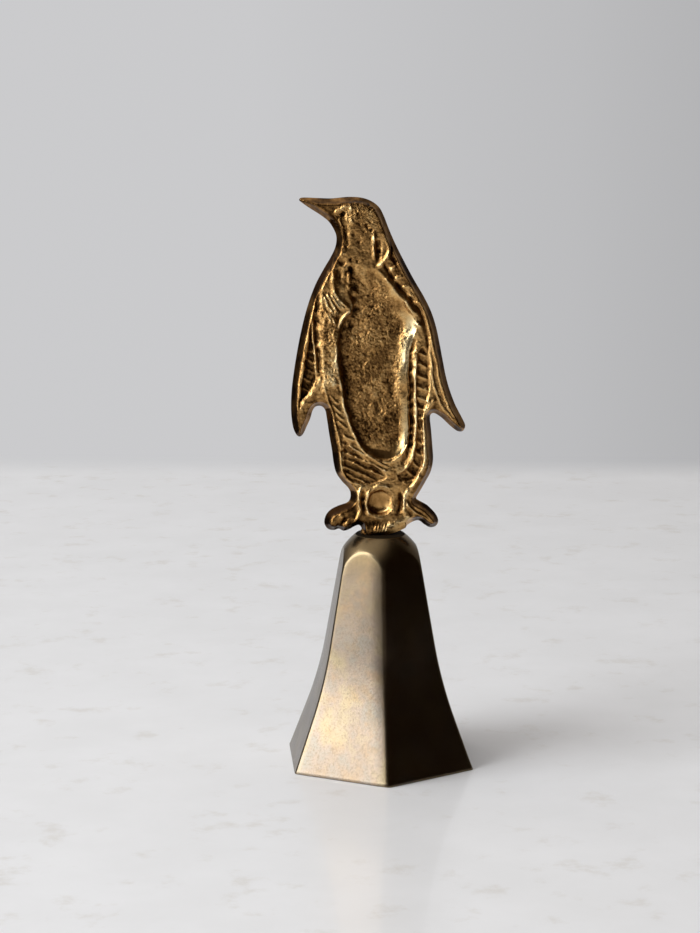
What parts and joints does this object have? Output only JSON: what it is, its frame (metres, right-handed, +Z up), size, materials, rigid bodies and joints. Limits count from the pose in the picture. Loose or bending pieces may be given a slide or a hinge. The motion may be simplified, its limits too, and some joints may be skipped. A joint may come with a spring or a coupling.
{
  "type": "table bell",
  "caption": "Small brass table bell: a six-sided flared bell with a round crown, a flat cast penguin in relief as its handle, and a clapper that swings inside.",
  "frame": {"origin": "centre of the bell's mouth, on the surface it stands on", "axes": "+Z up along the bell's axis, the penguin's front faces -Y over one corner of the bell, +X to the right seen from the front"},
  "size_m": [0.04, 0.0456, 0.127],
  "materials": {
    "bell_brass": "satin, brown with age",
    "figure_brass": "rough cast, golden on the ridges and dark in the hollows",
    "fixing_brass": "turned, dull",
    "clapper_brass": "drawn wire and turned ball, dull"
  },
  "bodies": {
    "bell": {"bell_shell": "bell_brass", "penguin_handle": "figure_brass", "handle_stud": "fixing_brass", "crown_washer": "fixing_brass", "crown_nut": "fixing_brass", "clapper_hanger": "fixing_brass"},
    "link": {"clapper_link": "clapper_brass"},
    "clapper": {"clapper_rod": "clapper_brass", "clapper_ball": "clapper_brass"}
  },
  "joints": [
    {"name": "link_swing", "type": "hinge", "parent": "bell", "child": "link", "pos_m": [0, 0, 0.0379], "axis": [0, 1, 0], "range_deg": [-18.5, 18.5]},
    {"name": "clapper_swing", "type": "hinge", "parent": "link", "child": "clapper", "pos_m": [0, 0, 0.0324], "axis": [1, 0, 0], "range_deg": [-13, 13]}
  ]
}
